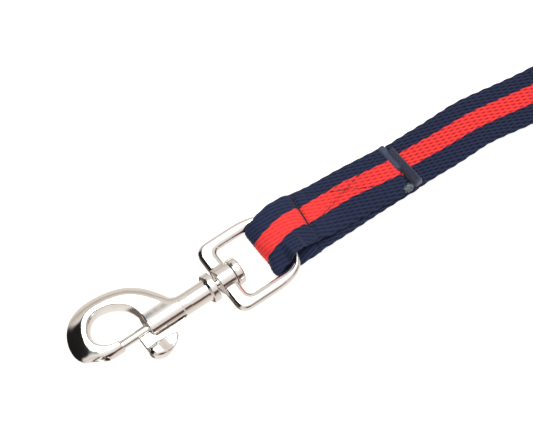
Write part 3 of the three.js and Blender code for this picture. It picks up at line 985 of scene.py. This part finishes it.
# ---- stitching ----
def merged(parts):
    """One set of vertices and faces from several."""
    verts, faces, first = [], [], 0
    for v, f in parts:
        verts.append(v)
        faces += [[first + int(i) for i in face] for face in f]
        first += len(v)
    return np.vstack(verts), faces


def stitch(start, end, out, radius, rise=0.22, sink=0.45):
    """One stitch of thread between two needle holes."""
    t = np.linspace(0, 1, 9)[:, None]
    arch = np.sin(math.pi * t) ** 0.5 * (rise + sink) - sink
    line = start + (end - start) * (0.06 + 0.88 * t) + out * arch
    return tube(line, radius, 6)


def stitch_row(start, end, out, pitch, radius):
    """Even stitches along a straight line, standing out from a surface."""
    start, end, out = (np.array(v, float) for v in (start, end, out))
    count = max(1, round(np.linalg.norm(end - start) / pitch))
    holes = start + (end - start) * np.linspace(0, 1, count + 1)[:, None]
    return [stitch(a, b, out, radius) for a, b in zip(holes, holes[1:])]


def add_thread(name, node, parts, material=THREAD):
    verts, faces = merged(parts)
    piece = add_mesh(name, verts, faces, material)
    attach(piece, "lead")
    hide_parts(node)
    return piece


def laid_on(surface, x_y):
    """Heights of a surface's highest points near each [x, y]."""
    heights = []
    for spot in x_y:
        close = np.hypot(surface[:, 0] - spot[0], surface[:, 1] - spot[1]) < 0.7
        heights.append(surface[close, 2].max())
    return np.array(heights)


def sewn_row(surface, start, end, pitch, radius, rise, sink=0):
    """Stitches along a line over a surface, each hole at the surface's own height."""
    length = math.dist(start, end)
    count = max(1, round(length / pitch))
    holes = np.array(start) + np.linspace(0, 1, count + 1)[:, None] * (np.array(end) - start)
    holes = np.column_stack([holes, laid_on(surface, holes) - sink])
    return [stitch(a, b, np.array((0, 0, 1.0)), radius, rise) for a, b in zip(holes, holes[1:])]


def add_seams(surface):
    """Thread across the fold, tied where it meets the stripe's near side, and the lap's cross."""
    a, b = (np.array(end, float) for end in LOOP_SEAM)
    knot = a + (b - a) * 0.69
    rows = sewn_row(surface, a, knot, 2.6, 0.36, 0.25)
    rows += sewn_row(surface, knot, b, 3, 0.3, 0.05, 0.25)
    rows += sewn_row(surface, knot + (-0.5, -0.6), knot + (3.4, -0.9), 1.9, 0.28, 0.3)
    add_thread("fold_stitches", "loop_seam", rows)
    rows = []
    for a, b in CROSS_SEAMS:
        rows += sewn_row(surface, a, b, 3.4, 0.16, 0.08, 0.12)
    add_thread("cross_stitches", "cross_seam", rows)


def satin_bar(start, end, half_width, base, top, pitch=0.62, depth=0.16):
    """Dense stitching over a seam: a rounded bar whose threads lie across it as ridges."""
    start, end = (np.array(v, float) for v in (start, end))
    length = np.linalg.norm(end - start)
    way = (end - start) / length
    side = np.array((way[1], -way[0]))
    place = np.linspace(0, length, round(length / pitch * 6))
    lines = []
    for s in place:
        ridge = 1 - depth * (0.5 + 0.5 * math.cos(2 * math.pi * s / pitch))
        taper = min(1, 0.55 + min(s, length - s) / 1.2)
        theta = np.linspace(0, math.pi, 17)
        across = -np.cos(theta) * half_width * (0.94 + 0.06 * ridge) * min(1, 0.4 + taper * 0.6)
        height = base + np.sin(theta) ** 0.75 * (top - base) * ridge * taper
        spot = start + way * s
        row = [spot[0] + side[0] * across, spot[1] + side[1] * across, height]
        lines.append(np.stack(row, axis=1))
    points = np.array(lines)
    return points.reshape(-1, 3), closed_rows(*points.shape[:2])


def add_bar_tack():
    """The lap's cut end: a flat row of zigzag over its far part, and a raised bar just behind."""
    parts = [
        satin_bar((92, -2), (91.3, 12.3), 2.3, 3.45, 7, 0.9, 0.06),
        satin_bar((95.2, -12), (94.2, 8.6), 2.1, 3.4, 7.9),
    ]
    add_thread("end_stitching", "end_bar_tack", parts, BINDING)


def add_melted_corner():
    """A small uneven lump at the near corner of the lap's cut end."""
    def field(x, y, z):
        body = np.hypot(np.hypot((x - 89.6) / 2.3, (y + 11.4) / 1.7), (z + AXIS_Z - 6.1) / 1.2)
        lumps = 0.12 * np.sin(3.1 * x + 1) * np.sin(3.7 * y) + 0.08 * np.sin(6 * x + 5 * y)
        return (body - 1 + lumps) * 1.3

    corner = cast_piece("melted_corner", field, (86.6, -14, -2.4), (92.6, -9, 1.4), 0.16, MELTED)
    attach(corner, "lead")
    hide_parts("lap_end_seal")


def add_hem_stitches(path):
    """Two rows through the hem, on its inner face."""
    inner = np.linalg.norm(path[-1, :2] - COIL_CENTRE) - LAYER_STEP - WEB_THICKNESS / 2 + 0.25
    first = math.atan2(path[-1, 1] - COIL_CENTRE[1], path[-1, 0] - COIL_CENTRE[0])
    parts = []
    for inset in (0.3, 0.72):
        angle = first + inset * HEM_LENGTH / inner
        inward = np.array((-math.cos(angle), -math.sin(angle), 0))
        spot = np.array((*COIL_CENTRE, 0)) - inward * inner
        low, high = spot + (0, 0, HEM_MARGIN), spot + (0, 0, WEB_WIDTH - HEM_MARGIN)
        parts += stitch_row(low, high, inward, 2.9, 0.3)
    return add_thread("hem_stitches", "hem_seam", parts)


# ---- surroundings ----
def add_floor():
    """Pale ground that glows enough to lose the softest shadows, and that the metal doesn't show."""
    half = 2000
    verts = [(-half, -half, 0), (half, -half, 0), (half, half, 0), (-half, half, 0)]
    material = plain_material("pale_floor", (0.6, 0.6, 0.6), 0.7)
    glow = material.node_tree.nodes["Principled BSDF"].inputs
    glow["Emission Color"].default_value = (1, 1, 1, 1)
    glow["Emission Strength"].default_value = 0.75
    floor = add_mesh("floor", verts, [[0, 1, 2, 3]], material)
    floor.visible_glossy = False


def add_light(name, centre, size, power, aim):
    light = bpy.data.lights.new(name, "AREA")
    light.shape = "RECTANGLE"
    light.size, light.size_y = size
    light.energy = power
    lamp = bpy.data.objects.new(name, light)
    lamp.location = Vector(metres(centre))
    away = lamp.location - Vector(metres(aim))
    lamp.rotation_euler = away.to_track_quat("Z", "Y").to_euler()
    bpy.context.scene.collection.objects.link(lamp)


# Colours of the surroundings from straight down, 0, to straight up, 1.
SKY = [
    (0.0, (0.93, 0.9, 0.87)), (0.4, (0.78, 0.71, 0.65)), (0.49, (0.5, 0.44, 0.4)),
    (0.6, (0.74, 0.69, 0.65)), (0.86, (0.84, 0.81, 0.78)), (0.92, (1.02, 1.02, 1.02)),
]
# Direction, outer and inner half-angle and colour of each dark patch in the surroundings.
DARK_PANELS = [
    ((-0.58, 0.38, 0.72), 42, 35, (0.012, 0.012, 0.011)),
    ((-0.9, 0.4, 0.05), 46, 37, (0.012, 0.012, 0.011)),
    ((-0.55, 0.37, -0.75), 34, 22, (0.17, 0.135, 0.115)),
    ((-0.16, 0.75, 0.64), 12, 7, (0.06, 0.075, 0.13)),
    ((0.05, 0.8, 0.6), 10, 6, (0.1, 0.11, 0.17)),
    ((0.25, -1, 0.3), 13, 9, (0.12, 0.06, 0.055)),
    ((-0.2, -1, 0.2), 24, 15, (0.08, 0.035, 0.03)),
    ((0.9, -0.75, 0.2), 16, 8, (0.12, 0.08, 0.08)),
]


def cone(nodes, links, way, aim, outer, inner):
    """1 in the directions within inner of aim, falling to 0 at outer, both in degrees."""
    dot = nodes.new("ShaderNodeVectorMath")
    dot.operation = "DOT_PRODUCT"
    dot.inputs[1].default_value = Vector(aim).normalized()
    links.new(way, dot.inputs[0])
    fade = nodes.new("ShaderNodeMapRange")
    fade.interpolation_type = "SMOOTHSTEP"
    fade.inputs["From Min"].default_value = math.cos(math.radians(outer))
    fade.inputs["From Max"].default_value = math.cos(math.radians(inner))
    links.new(dot.outputs["Value"], fade.inputs["Value"])
    return fade.outputs["Result"]


def add_surroundings():
    """White studio with dark panels here and there, which the nickel mirrors."""
    world = bpy.data.worlds.new("studio")
    bpy.context.scene.world = world
    world.use_nodes = True
    nodes, links = world.node_tree.nodes, world.node_tree.links
    way = nodes.new("ShaderNodeTexCoord").outputs["Generated"]
    height = nodes.new("ShaderNodeSeparateXYZ")
    links.new(way, height.inputs[0])
    level = calculate(nodes, links, "MULTIPLY_ADD", height.outputs["Z"], 0.5, 0.5)
    shade = ramp(nodes, links, level, SKY)
    for aim, outer, inner, colour in DARK_PANELS:
        mix = nodes.new("ShaderNodeMix")
        mix.data_type = "RGBA"
        links.new(cone(nodes, links, way, aim, outer, inner), mix.inputs[0])
        links.new(shade, mix.inputs[6])
        mix.inputs[7].default_value = (*colour, 1)
        shade = mix.outputs[2]
    links.new(shade, nodes["Background"].inputs["Color"])
    nodes["Background"].inputs["Strength"].default_value = 1.0
    add_light("overhead", (30, 100, 1100), (1.1, 0.8), 9, (30, 0, 5))
    bpy.context.scene.view_settings.view_transform = "Standard"


# ---- assembly ----
add_camera()
lead_strap, lead_path, lead_length = add_lead()
hem_stitches = add_hem_stitches(lead_path)
add_snap()
add_rivet()
add_bolt()
add_spring()
add_eye()
lap_surface = add_fold()
add_lower_layer()
add_seams(lap_surface)
add_bar_tack()
add_melted_corner()
add_floor()
add_surroundings()
